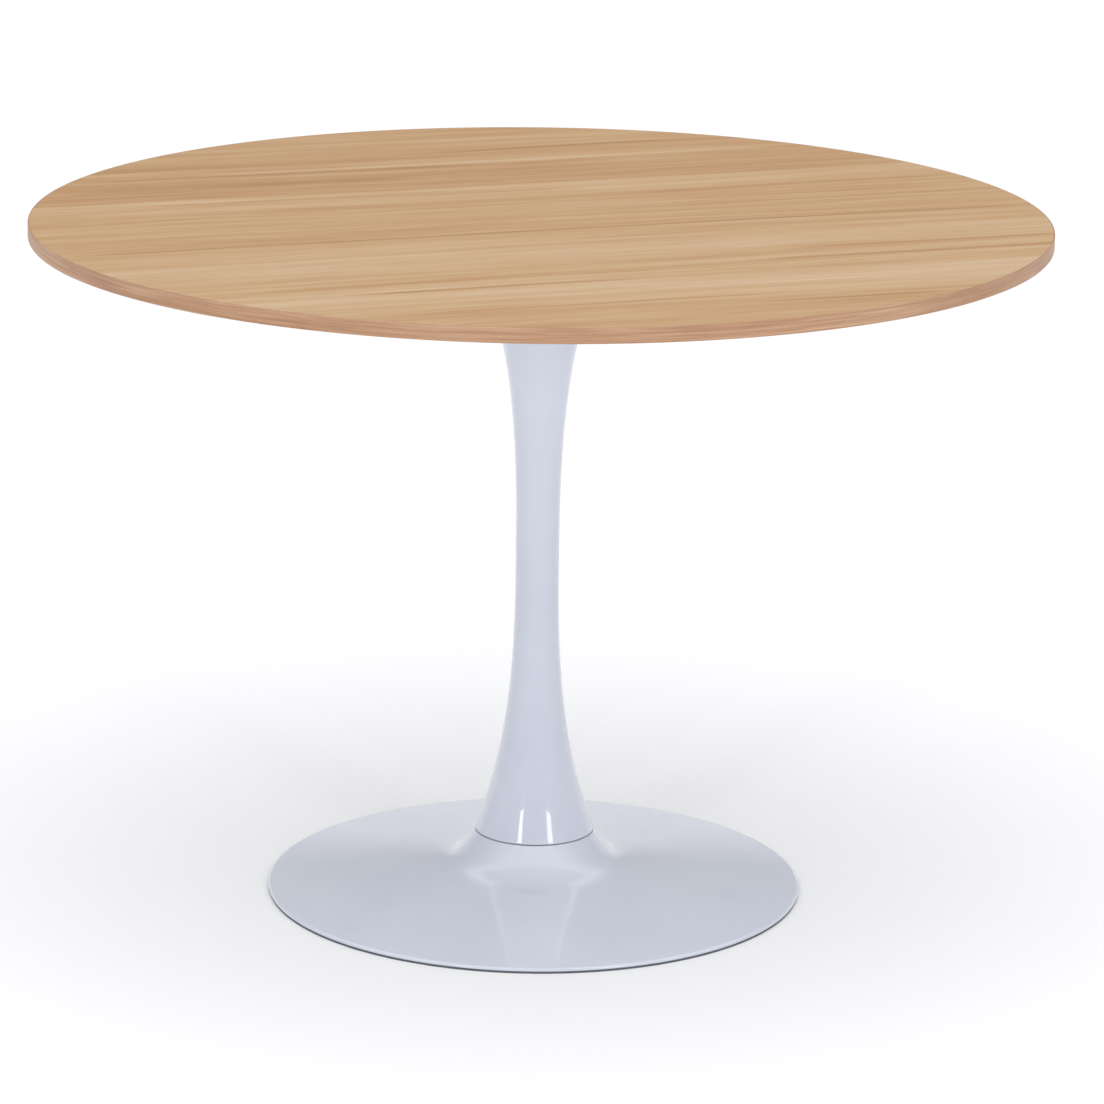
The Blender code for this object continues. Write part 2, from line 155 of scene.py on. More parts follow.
foot_low, foot_high = box("base_shell")
ballast_low, ballast_high = box("ballast_casting")
column_low, column_high = box("column_shell")
foot_radius = foot_high.x
neck_radius = column_high.x
neck_top = foot_high.z

RIM_TOP = 5.5 * MM
RIM_SLOPE = 0.120
NECK_SLOPE = 1.60
TRUMPET_BLEND = 7.5 * MM


def trumpet(radius):
    """Height of the foot at a radius: half the sum of a shallow and a steep cone, plus the root of the
    square of half their difference and the blend squared, which is a hyperbola between them."""
    shallow = RIM_TOP + RIM_SLOPE * (foot_radius - radius)
    sweep = neck_top - RIM_TOP - RIM_SLOPE * (foot_radius - neck_radius)
    lead = sweep - TRUMPET_BLEND ** 2 / sweep
    half = (lead - (NECK_SLOPE - RIM_SLOPE) * (radius - neck_radius)) / 2
    return shallow + half + np.hypot(half, TRUMPET_BLEND)


def under_trumpet(radius, inset):
    """Points set in from the foot's surface: each moves back along the surface's own normal."""
    slope = -np.gradient(trumpet(radius), radius)
    length = np.hypot(slope, 1.0)
    return np.stack([radius - inset * slope / length, trumpet(radius) - inset / length], axis=-1)


SHELL_WALL = 1.8 * MM
BALLAST_CLEARANCE = 3.0 * MM
BOSS_RADIUS = 52.0 * MM
BOSS_GAP = 0.3 * MM
SPIGOT_RADIUS = 40.0 * MM
POCKET_RADIUS = 32.0 * MM
POCKET_DEPTH = 30.0 * MM
ROD_HOLE_RADIUS = 6.7 * MM
shoulder = neck_top - SHELL_WALL - BOSS_GAP
pocket_ceiling = ballast_low.z + POCKET_DEPTH
slope_radii = np.linspace(ballast_high.x, neck_radius + BALLAST_CLEARANCE, 60)
slope = under_trumpet(slope_radii, SHELL_WALL + BALLAST_CLEARANCE)
below = softened([(ROD_HOLE_RADIUS, ballast_high.z), (ROD_HOLE_RADIUS, pocket_ceiling),
                  (POCKET_RADIUS, pocket_ceiling), (POCKET_RADIUS, ballast_low.z),
                  (slope[0, 0], ballast_low.z)],
                 [1.0 * MM, 0.6 * MM, 2.0 * MM, 1.5 * MM, 1.6 * MM])
above = softened([(slope[-1, 0], slope[-1, 1]), (BOSS_RADIUS, shoulder), (SPIGOT_RADIUS, shoulder),
                  (SPIGOT_RADIUS, ballast_high.z), (ROD_HOLE_RADIUS, ballast_high.z)],
                 [0.0, 1.5 * MM, 0.5 * MM, 1.0 * MM, 0.8 * MM])
ballast = skin("ballast_disc", turned(np.concatenate([below, slope[1:-1], above]), 160))
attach(ballast, "root")
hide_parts("ballast_casting")

# Sand-cast grey iron, primed dark grey: matt, with the grain of the sand, about 0.9 mm, all over, and
# cloudy where the primer is thin.
iron = finish("sand_cast_iron", {"Metallic": 0.0, "IOR": 1.5})
place = add(iron, "TexCoord", {})["Object"]
sand = add(iron, "TexNoise", {"Vector": place, "Scale": 1 / (0.9 * MM), "Detail": 3.0})["Fac"]
cloud = add(iron, "TexNoise", {"Vector": place, "Scale": 1 / (35 * MM), "Detail": 4.0})["Fac"]
tone = add(iron, "ValToRGB", {"Fac": cloud}, stops=[
    (0.35, srgb("#2f3134")), (0.68, srgb("#4a4c4f"))])["Color"]
rough = add(iron, "MapRange", {"Value": sand, "To Min": 0.62, "To Max": 0.85})["Result"]
dents = add(iron, "Bump", {"Height": sand, "Strength": 0.55, "Distance": 0.25 * MM})["Normal"]
finish("sand_cast_iron", {"Base Color": tone, "Roughness": rough, "Normal": dents})
ballast.data.materials.append(iron)


# ---- Foot ----
# The trumpet-shaped foot is spun from 1.8 mm sheet steel, with a lip turned in at the neck that is
# clamped between ballast and column, and a rolled edge. It is painted in white two-pack enamel.
LIP_RADIUS = SPIGOT_RADIUS + 0.5 * MM
RIM_ROUND = 3.0 * MM
HEM_HEIGHT = 0.9 * MM

# The rings crowd towards the neck, where the curve is tightest. The inner skin is the outer one set in by
# the wall, and it stops short of the lip and of the rolled edge, which are outlines of their own.
radii = neck_radius + (foot_radius - RIM_ROUND - neck_radius) * np.linspace(0, 1, 90) ** 1.7
outer = np.stack([radii, trumpet(radii)], axis=-1)
angle = np.linspace(math.pi / 2, 0, 10)[1:]
rim = np.stack([foot_radius - RIM_ROUND + RIM_ROUND * np.cos(angle),
                outer[-1, 1] - RIM_ROUND + RIM_ROUND * np.sin(angle)], axis=-1)
hem_top = foot_low.z + HEM_HEIGHT
hem = softened([(foot_radius, hem_top), (foot_radius, foot_low.z),
                (foot_radius - SHELL_WALL, foot_low.z), (foot_radius - SHELL_WALL, hem_top)],
               [0.0, 0.5 * MM, 0.5 * MM, 0.0])
inner = under_trumpet(radii, SHELL_WALL)[::-1]
inner = inner[(inner[:, 1] < neck_top - 2.2 * SHELL_WALL) & (inner[:, 0] < foot_radius - 1.4 * RIM_ROUND)]
lip = softened([(neck_radius - 1.3 * SHELL_WALL, neck_top - SHELL_WALL),
                (LIP_RADIUS, neck_top - SHELL_WALL), (LIP_RADIUS, neck_top), (neck_radius, neck_top)],
               [0.0, 0.4 * MM, 0.4 * MM, 0.5 * MM])
foot = skin("foot_shell", turned(np.concatenate([outer[1:], rim, hem, inner, lip]), 288), sharp=50.0)
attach(foot, "root")
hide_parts("base_shell")

# White two-pack enamel, sprayed and baked: a full gloss with a faint orange peel, about 3 mm from crest
# to crest, and a cool tint. The clear top layer gives sharp lights over a soft body.
enamel = finish("white_enamel_on_steel", {
    "Metallic": 0.0, "IOR": 1.5, "Specular IOR Level": 0.2, "Coat Weight": 0.9, "Coat Roughness": 0.04,
    "Coat IOR": 1.5})
place = add(enamel, "TexCoord", {})["Object"]
peel = add(enamel, "TexNoise", {"Vector": place, "Scale": 1 / (3.2 * MM), "Detail": 1.0})["Fac"]
drift = add(enamel, "TexNoise", {"Vector": place, "Scale": 1 / (120 * MM), "Detail": 2.0})["Fac"]
speck = add(enamel, "TexNoise", {"Vector": place, "Scale": 1 / (0.5 * MM), "Detail": 2.0})["Fac"]
tone = add(enamel, "ValToRGB", {"Fac": drift}, stops=[
    (0.3, srgb("#c4c8d5")), (0.7, srgb("#c9cdd9"))])["Color"]
rough = add(enamel, "MapRange", {"Value": speck, "To Min": 0.20, "To Max": 0.27})["Result"]
ripple = add(enamel, "Bump", {"Height": peel, "Strength": 0.05, "Distance": 0.05 * MM})["Normal"]
finish("white_enamel_on_steel", {
    "Base Color": tone, "Roughness": rough, "Normal": ripple, "Coat Normal": ripple})
foot.data.materials.append(enamel)


# ---- Floor ring ----
# An extruded rubber ring pushed up inside the rolled edge. It carries the foot, keeps the steel off
# the floor and shows as a thin dark line; two grooves in its sole keep it from sliding.
SOLE_WIDTH = 8.0 * MM
SOLE_HEIGHT = 2.0 * MM
GROOVE = 0.8 * MM
GROOVE_SHARES = (0.36, 0.68)
UPSTAND_WIDTH = 1.6 * MM
UPSTAND_GAP = 0.3 * MM
ring_high = Vector(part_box("base_rubber_ring")[1])
ring_outer = ring_high.x
ring_inner = ring_outer - SOLE_WIDTH
upstand = foot_radius - SHELL_WALL - UPSTAND_GAP
sole = [(ring_inner, 0.0)]
for share in GROOVE_SHARES:
    middle = ring_inner + share * SOLE_WIDTH
    sole += [(middle - GROOVE / 2, 0.0), (middle, GROOVE), (middle + GROOVE / 2, 0.0)]
sole += [(ring_outer, 0.0), (ring_outer, SOLE_HEIGHT), (upstand, SOLE_HEIGHT), (upstand, ring_high.z),
         (upstand - UPSTAND_WIDTH, ring_high.z), (upstand - UPSTAND_WIDTH, SOLE_HEIGHT),
         (ring_inner, SOLE_HEIGHT)]
floor_ring = skin("floor_ring", turned(softened(sole, 0.15 * MM, steps=2), 288))
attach(floor_ring, "root")
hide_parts("base_rubber_ring")


def per_metre(*sizes):
    """A pattern's scale along each axis, from the size of one cell of it in millimetres."""
    return tuple(1 / (size * MM) for size in sizes)


# EPDM rubber, extruded and joined: matt dark grey with fine drag lines along the ring, about 0.5 mm apart.
rubber = finish("extruded_epdm_rubber", {"Metallic": 0.0, "IOR": 1.52})
place = add(rubber, "TexCoord", {})["Object"]
drag = add(rubber, "Mapping", {"Vector": place, "Scale": per_metre(25, 25, 0.4545)})["Vector"]
lines = add(rubber, "TexNoise", {"Vector": drag, "Scale": 1.0, "Detail": 3.0})["Fac"]
tone = add(rubber, "ValToRGB", {"Fac": lines}, stops=[
    (0.3, srgb("#484d55")), (0.75, srgb("#5b616a"))])["Color"]
rough = add(rubber, "MapRange", {"Value": lines, "To Min": 0.6, "To Max": 0.8})["Result"]
grain = add(rubber, "Bump", {"Height": lines, "Strength": 0.3, "Distance": 0.1 * MM})["Normal"]
finish("extruded_epdm_rubber", {"Base Color": tone, "Roughness": rough, "Normal": grain})
floor_ring.data.materials.append(rubber)


# ---- Tie rod and its fittings ----
# One M12 stud, rolled thread at both ends, runs up the middle and clamps the whole stack. Each end has
# a washer, a split spring washer and a hexagon nut, all bright zinc plated.
PITCH = 1.75 * MM
THREAD_HEIGHT = 0.50 * MM
THREADED = 55.0 * MM
TIP_CHAMFER = 1.2 * MM
rod_low, rod_high = box("tie_rod")
rod_radius = rod_high.x


def threaded_rod(bottom, top, radius, sides=32):
    """A stud: its radius is the mean plus a triangle wave of height over pitch less turns, faded out
    past each threaded end, and no more than the 45-degree cone of the chamfer at either tip."""
    ends = np.arange(0, THREADED + 3 * PITCH, PITCH / 10)
    height = np.concatenate([bottom + ends, top - ends[::-1]])[:, None]
    turn = full_turn(sides)
    phase = (height - bottom) / PITCH - turn / math.tau
    wave = (1 - 4 * np.abs(phase % 1 - 0.5)) * THREAD_HEIGHT / 2
    from_tip = np.minimum(height - bottom, top - height)
    fade = np.clip((THREADED + PITCH - from_tip) / PITCH, 0, 1)
    swept = np.minimum(radius + wave * fade, radius - TIP_CHAMFER + from_tip)
    poles = [about_axis(0.0, turn, end)[None] for end in (bottom, top)]
    return np.concatenate([poles[0], about_axis(swept, turn, height), poles[1]])


rod = skin("stud_m12", threaded_rod(rod_low.z, rod_high.z, rod_radius), wrap_rows=False, sharp=60.0)
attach(rod, "root")
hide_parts("tie_rod")

# Bright zinc plate over cold-formed steel: a pale blue-grey metal with a soft shine, clouded in patches
# of about 4 mm.
zinc = finish("bright_zinc_plate", {"Metallic": 1.0})
place = add(zinc, "TexCoord", {})["Object"]
bloom = add(zinc, "TexNoise", {"Vector": place, "Scale": 1 / (4 * MM), "Detail": 4.0})["Fac"]
tone = add(zinc, "ValToRGB", {"Fac": bloom}, stops=[
    (0.3, srgb("#b9bcbd")), (0.7, srgb("#cfd2d4"))])["Color"]
rough = add(zinc, "MapRange", {"Value": bloom, "To Min": 0.28, "To Max": 0.44})["Result"]
finish("bright_zinc_plate", {"Base Color": tone, "Roughness": rough})
rod.data.materials.append(zinc)

NUT_FLATS = 19.0 * MM
NUT_CHAMFER = 0.7 * MM
NUT_GAP = 0.1 * MM
NUT_FACE = 0.96
WASHER_GAP = 0.7 * MM
SPRING_RISE = 0.5 * MM
SPRING_SPLIT = math.radians(14)


def hexagon(turn, half_flats):
    """A hexagon's radius at a turn: half its flats over the cosine of the turn from the nearest flat's
    middle."""
    sector = math.tau / 6
    return half_flats / np.cos((turn + sector / 2) % sector - sector / 2)


def hex_nut(bottom, top, bore, sides=72):
    """A hexagon nut: its outer radius is the lesser of the hexagon and a 30-degree cone at either face,
    and its bore is chamfered at both ends."""
    turn = full_turn(sides)
    depth = np.array([0.0, 0.5, 1.0, 1.6]) * MM
    cone = NUT_FLATS / 2 * NUT_FACE + depth * math.tan(math.radians(60))
    edge = np.minimum(hexagon(turn, NUT_FLATS / 2), cone[:, None])
    bore_ring = np.full((1, sides), bore)
    mouth = bore_ring + NUT_CHAMFER
    radius = np.concatenate([bore_ring, mouth, edge, edge[::-1], mouth, bore_ring])
    height = np.concatenate([[bottom + NUT_CHAMFER, bottom], bottom + depth, top - depth[::-1],
                             [top, top - NUT_CHAMFER]])[:, None]
    return about_axis(radius, turn, height)


def split_washer(bottom, top, bore, rim):
    """A spring washer: a rounded rectangle carried most of the way round, climbing as it goes."""
    corners = [(bore, bottom), (rim, bottom), (rim, top - SPRING_RISE), (bore, top - SPRING_RISE)]
    outline = softened(corners, 0.3 * MM, steps=2)
    share = np.linspace(0, 1, 60)[:, None]
    turn = SPRING_SPLIT / 2 + share * (math.tau - SPRING_SPLIT)
    return about_axis(outline[:, 0], turn, outline[:, 1] + SPRING_RISE * share)


for end in ("top", "bottom"):
    bore = rod_radius + WASHER_GAP
    low, high = box(f"{end}_nut")
    nut = skin(f"{end}_hexagon_nut", hex_nut(low.z, high.z, rod_radius + NUT_GAP), sharp=25.0)
    low, high = box(f"{end}_spring_washer")
    spring = skin(f"{end}_split_washer", split_washer(low.z, high.z, bore, high.x), wrap_rows=False,
                  caps=True)
    flat_node = "top_washer" if end == "top" else "bottom_plate_washer"
    low, high = box(flat_node)
    ring = softened([(bore, low.z), (high.x, low.z), (high.x, high.z), (bore, high.z)], 0.4 * MM)
    flat = skin(f"{end}_flat_washer", turned(ring, 96))
    for piece, node in ((nut, f"{end}_nut"), (spring, f"{end}_spring_washer"), (flat, flat_node)):
        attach(piece, "root")
        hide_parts(node)
        piece.data.materials.append(zinc)


# ---- Joint ring ----
# A thin polyethylene ring between foot and column, set back from both, so that the enamel doesn't chip
# when the rod is tightened. It shows as the fine grey line round the neck.
low, high = box("column_gasket")
ring = softened([(LIP_RADIUS, low.z), (high.x, low.z), (high.x, high.z), (LIP_RADIUS, high.z)], 0.2 * MM)
joint_ring = skin("joint_ring", turned(ring, 192))
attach(joint_ring, "root")
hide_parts("column_gasket")

# Low-density polyethylene, die cut: waxy, mid grey, slightly cloudy.
polyethylene = finish("die_cut_polyethylene", {"Metallic": 0.0, "IOR": 1.51})
place = add(polyethylene, "TexCoord", {})["Object"]
cloud = add(polyethylene, "TexNoise", {"Vector": place, "Scale": 1 / (6 * MM), "Detail": 2.0})["Fac"]
tone = add(polyethylene, "ValToRGB", {"Fac": cloud}, stops=[
    (0.3, srgb("#858996")), (0.7, srgb("#9498a5"))])["Color"]
rough = add(polyethylene, "MapRange", {"Value": cloud, "To Min": 0.45, "To Max": 0.6})["Result"]
finish("die_cut_polyethylene", {"Base Color": tone, "Roughness": rough})
joint_ring.data.materials.append(polyethylene)


# ---- Column ----
# The waisted column is spun from steel tube, flared to both ends, with a lip turned in at each. It
# stands on the foot's lip, round the ballast's spigot, and has the same enamel.
COLUMN_WALL = 2.5 * MM
WAIST_RADIUS = 24.0 * MM
WAIST_SHARE = 0.49
FOOT_POWER, HEAD_POWER = 2.85, 2.80
waist = column_low.z + WAIST_SHARE * (column_high.z - column_low.z)


def column_outline(height):
    """Column radius at a height: the waist's, plus the flare times the share of the way from waist to
    end, raised to a power that says how late the flare opens."""
    down = np.clip((waist - height) / (waist - column_low.z), 0, 1) ** FOOT_POWER
    up = np.clip((height - waist) / (column_high.z - waist), 0, 1) ** HEAD_POWER
    return WAIST_RADIUS + (neck_radius - WAIST_RADIUS) * (down + up)


# The rings crowd towards both ends, and the last few give way to the lips' rounded corners.
heights = column_low.z + (column_high.z - column_low.z) * (1 - np.cos(np.linspace(0, math.pi, 140))) / 2
outside = np.stack([column_outline(heights), heights], axis=-1)
inside = outside[::-1] - [COLUMN_WALL, 0]
inside = inside[(inside[:, 1] > column_low.z + 1.6 * COLUMN_WALL)
                & (inside[:, 1] < column_high.z - 1.6 * COLUMN_WALL)]
lip_root = neck_radius - 1.4 * COLUMN_WALL
head_lip = softened([(neck_radius, column_high.z), (LIP_RADIUS, column_high.z),
                     (LIP_RADIUS, column_high.z - COLUMN_WALL), (lip_root, column_high.z - COLUMN_WALL)],
                    [0.8 * MM, 0.4 * MM, 0.4 * MM, 0.0])
foot_lip = softened([(lip_root, column_low.z + COLUMN_WALL), (LIP_RADIUS, column_low.z + COLUMN_WALL),
                     (LIP_RADIUS, column_low.z), (neck_radius, column_low.z)],
                    [0.0, 0.4 * MM, 0.4 * MM, 0.5 * MM])
section = np.concatenate([outside[3:-3], head_lip[:-1], inside, foot_lip[1:]])
column = skin("column_body", turned(section, 224), sharp=50.0)
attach(column, "root")
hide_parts("column_shell")
column.data.materials.append(enamel)


# ---- Spider ----
# The hub is a steel plate with a turned spigot that sits in the column's head. Four pressed channel
# arms stand on it, each welded along both flanges, and carry the board.
HUB_THICKNESS = 6.0 * MM
hub_low, hub_high = box("spider_hub")
hub_underside = hub_high.z - HUB_THICKNESS
plate = softened([(ROD_HOLE_RADIUS, hub_low.z), (SPIGOT_RADIUS, hub_low.z),
                  (SPIGOT_RADIUS, hub_underside), (hub_high.x, hub_underside),
                  (hub_high.x, hub_high.z), (ROD_HOLE_RADIUS, hub_high.z)],
                 [0.5 * MM, 0.8 * MM, 0.3 * MM, 0.8 * MM, 0.8 * MM, 0.5 * MM])
hub = skin("hub_plate", turned(plate, 160))
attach(hub, "root")
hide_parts("spider_hub")

# White powder coat, electrostatic and baked: satin, with a fine even texture of about 1.2 mm.
powder = finish("white_powder_coat", {"Metallic": 0.0, "IOR": 1.5})
place = add(powder, "TexCoord", {})["Object"]
texture = add(powder, "TexNoise", {"Vector": place, "Scale": 1 / (1.2 * MM), "Detail": 2.0})["Fac"]
tone = add(powder, "ValToRGB", {"Fac": texture}, stops=[
    (0.3, srgb("#cdd0d8")), (0.7, srgb("#d6d9e0"))])["Color"]
rough = add(powder, "MapRange", {"Value": texture, "To Min": 0.36, "To Max": 0.5})["Result"]
grit = add(powder, "Bump", {"Height": texture, "Strength": 0.25, "Distance": 0.1 * MM})["Normal"]
finish("white_powder_coat", {"Base Color": tone, "Roughness": rough, "Normal": grit})
hub.data.materials.append(powder)

ARM_COUNT = 4
ARM_BEARING = math.radians(45)
ARM_START, ARM_REACH = 24.0 * MM, 320.0 * MM
ARM_WIDTHS = (40.0 * MM, 30.0 * MM)
ARM_DEPTHS = (24.0 * MM, 9.0 * MM)
ARM_SHEET = 2.5 * MM
ARM_EDGE = 0.4 * MM
BEND = 4.0 * MM
arm_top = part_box("spider_arm_1")[1][2]


def arm_section(distance):
    """Half width and depth of an arm at a distance from the axis: level over the hub, then a straight
    taper to the tip."""
    share = np.clip((distance - hub_high.x) / (ARM_REACH - hub_high.x), 0, 1)
    half = (ARM_WIDTHS[0] + (ARM_WIDTHS[1] - ARM_WIDTHS[0]) * share) / 2
    return half, ARM_DEPTHS[0] + (ARM_DEPTHS[1] - ARM_DEPTHS[0]) * share


def aimed(points, number):
    """Points of an arm that lies along X, turned to the bearing of the given arm."""
    bearing = ARM_BEARING + number * math.tau / ARM_COUNT
    turn = np.array([[math.cos(bearing), math.sin(bearing), 0],
                     [-math.sin(bearing), math.cos(bearing), 0],
                     [0, 0, 1]])
    return points @ turn


distance = np.concatenate([np.linspace(ARM_START, hub_high.x, 6),
                           np.linspace(hub_high.x, ARM_REACH, 24)[1:]])
half, depth = arm_section(distance)
web = 0 * half
corners = np.stack([np.stack(corner, -1) for corner in (
    (-half, -depth), (-half, web), (half, web), (half, -depth),
    (half - ARM_SHEET, -depth), (half - ARM_SHEET, web - ARM_SHEET),
    (ARM_SHEET - half, web - ARM_SHEET), (ARM_SHEET - half, -depth))], axis=1)
bends = np.array([ARM_EDGE, BEND, BEND, ARM_EDGE, ARM_EDGE, BEND / 2, BEND / 2, ARM_EDGE])
section = softened(corners, bends, steps=5)
along = np.broadcast_to(distance[:, None, None], (*section.shape[:2], 1))
channel = np.concatenate([along, section], axis=-1) + [0, 0, arm_top]

# The weld's bead is a bent tube whose radius ripples with each stroke of the torch, 2.5 mm apart, and
# closes in at both ends.
WELD = 2.2 * MM
WELD_STROKE = 2.5 * MM
BEAD_SINK = 0.1 * MM
BEAD_OFFSET = 0.2 * MM
bead_path = np.linspace(ARM_START + 3 * MM, hub_high.x - 2 * MM, 90)[:, None]
bead_turn = full_turn(12)
bead_radius = WELD * (1 + 0.10 * np.cos(bead_path / WELD_STROKE * math.tau))
bead_radius = bead_radius * np.sqrt(np.clip(1 - np.abs(np.linspace(-1, 1, 90)[:, None]) ** 12, 0.04, 1))
for number in range(ARM_COUNT):
    arm = skin(f"arm_{number + 1}", aimed(channel, number), wrap_rows=False, caps=True, sharp=40.0)
    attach(arm, "root")
    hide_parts(f"spider_arm_{number + 1}")
    arm.data.materials.append(powder)
    for side in (-1, 1):
        bead = np.stack([bead_path + 0 * bead_turn,
                         side * (ARM_WIDTHS[0] / 2 + BEAD_OFFSET) + bead_radius * np.cos(bead_turn),
                         hub_high.z + BEAD_SINK + bead_radius * np.sin(bead_turn)], axis=-1)
        weld = skin(f"weld_{number + 1}_{'left' if side > 0 else 'right'}", aimed(bead, number),
                    wrap_rows=False, caps=True)
        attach(weld, "root")
        weld.data.materials.append(powder)


# ---- Board ----
# The board is 16 mm fibreboard, faced with an oak-effect decor paper under melamine, balanced with a
# white sheet below, and edged with 1.5 mm ABS in a matching print.
EDGE_BAND = 1.5 * MM
EDGE_EASE = 1.4 * MM
face_low, face_high = box("tabletop_face_veneer")
band_low, band_high = box("tabletop_edge_band")
face_radius = band_high.x - EDGE_BAND
disc = np.array([(0, face_low.z), (face_radius, face_low.z), (face_radius, face_high.z), (0, face_high.z)])
face = skin("oak_face", turned(disc, 288), wrap_rows=False)
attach(face, "root")
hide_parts("tabletop_face_veneer")

# Oak-effect decor, printed and pressed: straight grain at 19 degrees to X, in bands of differing tone
# 30 to 100 mm wide, with fibres about 1.5 mm wide, a few long dark checks, and a low satin sheen. The band
# tones also carry painted shade: lighter on the side towards the camera, darker on the far side.
GRAIN = math.radians(19)
SWAY = 30 * MM
HALF_BOARD = 550
oak = finish("oak_effect_melamine", {"Metallic": 0.0, "IOR": 1.5})
place = add(oak, "TexCoord", {})["Object"]
grain = add(oak, "Mapping", {"Vector": place, "Rotation": (0, 0, -GRAIN)})["Vector"]
sway_place = add(oak, "Mapping", {"Vector": grain, "Scale": per_metre(555.6, 250, 1000)})["Vector"]
sway = add(oak, "TexNoise", {"Vector": sway_place, "Scale": 1.0, "Detail": 2.0})["Fac"]
parts = add(oak, "SeparateXYZ", {"Vector": grain})
across = add(oak, "Math", {0: sway, 1: SWAY, 2: parts["Y"]}, operation="MULTIPLY_ADD")["Value"]
across = add(oak, "Math", {0: across, 1: SWAY / 2}, operation="SUBTRACT")["Value"]
swayed = add(oak, "CombineXYZ", {"X": parts["X"], "Y": across})["Vector"]


def band_and_shade_stop(offset, tone):
    """A stop of the board's tone ramp: distance from the middle across the grain, in mm, and lightness,
    which is the plank's own tone plus painted shade.
    """
    return (offset / (2 * HALF_BOARD) + 0.5, (tone, tone, tone, 1.0))


ramp_place = add(oak, "MapRange", {"Value": across, "From Min": -HALF_BOARD * MM,
                                   "From Max": HALF_BOARD * MM})["Result"]
# Painted shade: the stops run lighter at negative offsets, towards the camera, and darker at positive ones,
# on the far side, on top of the planks' own tones.
tone = add(oak, "ValToRGB", {"Fac": ramp_place}, stops=[
    band_and_shade_stop(-500, 0.46), band_and_shade_stop(-455, 0.44), band_and_shade_stop(-420, 0.62), band_and_shade_stop(-350, 0.84), band_and_shade_stop(-322, 0.60),
    band_and_shade_stop(-270, 0.54), band_and_shade_stop(-215, 0.56), band_and_shade_stop(-180, 0.78), band_and_shade_stop(-130, 0.56), band_and_shade_stop(-66, 0.44),
    band_and_shade_stop(0, 0.42), band_and_shade_stop(50, 0.52), band_and_shade_stop(105, 0.38), band_and_shade_stop(150, 0.60), band_and_shade_stop(188, 0.62), band_and_shade_stop(202, 0.30),
    band_and_shade_stop(260, 0.20), band_and_shade_stop(320, 0.28), band_and_shade_stop(345, 0.46), band_and_shade_stop(400, 0.18), band_and_shade_stop(450, 0.46),
    band_and_shade_stop(500, 0.36)])["Color"]

# Streaks about 20 mm apart, fibres and pores are the same noise, drawn out along the grain at three sizes.
streak_place = add(oak, "Mapping", {"Vector": swayed, "Scale": per_metre(526.3, 19.231, 1000)})["Vector"]
streak = add(oak, "TexNoise", {
    "Vector": streak_place, "Scale": 1.0, "Detail": 5.0, "Roughness": 0.72})["Fac"]
fibre_place = add(oak, "Mapping", {"Vector": swayed, "Scale": per_metre(142.86, 3.3333, 1000)})["Vector"]
fibre = add(oak, "TexNoise", {"Vector": fibre_place, "Scale": 1.0, "Detail": 4.0, "Roughness": 0.65})["Fac"]
pore_place = add(oak, "Mapping", {"Vector": swayed, "Scale": per_metre(38.462, 0.90909, 1000)})["Vector"]
pore = add(oak, "TexNoise", {"Vector": pore_place, "Scale": 1.0, "Detail": 1.0})["Fac"]
pore = add(oak, "MapRange", {"Value": pore, "From Min": 0.60, "From Max": 0.72})["Result"]
shade = add(oak, "Math", {0: tone, 1: 0.60}, operation="MULTIPLY")["Value"]
for layer, weight in ((streak, 1.1), (fibre, 0.55), (pore, -0.12)):
    shade = add(oak, "Math", {0: layer, 1: weight, 2: shade}, operation="MULTIPLY_ADD")["Value"]

# Checks and pale rays: offset across the grain, start and end along it, width, all in mm, and depth.
CHECKS = (
    (405, 0, 330, 5, 0.24), (336, -440, 420, 10, -0.17), (319, -440, 60, 4, 0.20),
    (260, -470, -60, 14, 0.14), (196, -500, 500, 5, 0.14), (166, -400, -200, 4, 0.22),
    (152, -140, 120, 4, 0.24), (112, 130, 540, 8, 0.22), (60, 150, 520, 5, 0.18),
    (28, -20, 540, 4, 0.20), (-67, -540, 540, 4, 0.38), (-222, 200, 540, 6, 0.28),
    (-268, 120, 540, 9, 0.26), (-288, -420, 60, 5, 0.20), (-317, -330, -20, 5, -0.18),
    (-326, -330, 0, 4, 0.42), (-430, -300, 110, 4, 0.24), (-466, 70, 290, 4, 0.34))
CHECK_FADE = 60 * MM
CHECK_STRENGTH = 2.6
for offset, start, end, width, deep in CHECKS:
    half = (end - start) / 2 * MM
    aside = add(oak, "Math", {0: across, 1: offset * MM}, operation="SUBTRACT")["Value"]
    aside = add(oak, "Math", {0: aside}, operation="ABSOLUTE")["Value"]
    line = add(oak, "MapRange", {"Value": aside, "From Min": width * MM, "From Max": 0.0})["Result"]
    along = add(oak, "Math", {0: parts["X"], 1: (start + end) / 2 * MM}, operation="SUBTRACT")["Value"]
    along = add(oak, "Math", {0: along}, operation="ABSOLUTE")["Value"]
    reach = add(oak, "MapRange", {"Value": along, "From Min": half, "From Max": half - CHECK_FADE})["Result"]
    both = add(oak, "Math", {0: line, 1: reach}, operation="MULTIPLY")["Value"]
    both = add(oak, "Math", {0: both, 1: streak}, operation="MULTIPLY")["Value"]
    shade = add(oak, "Math", {0: both, 1: -CHECK_STRENGTH * deep, 2: shade},
                operation="MULTIPLY_ADD")["Value"]

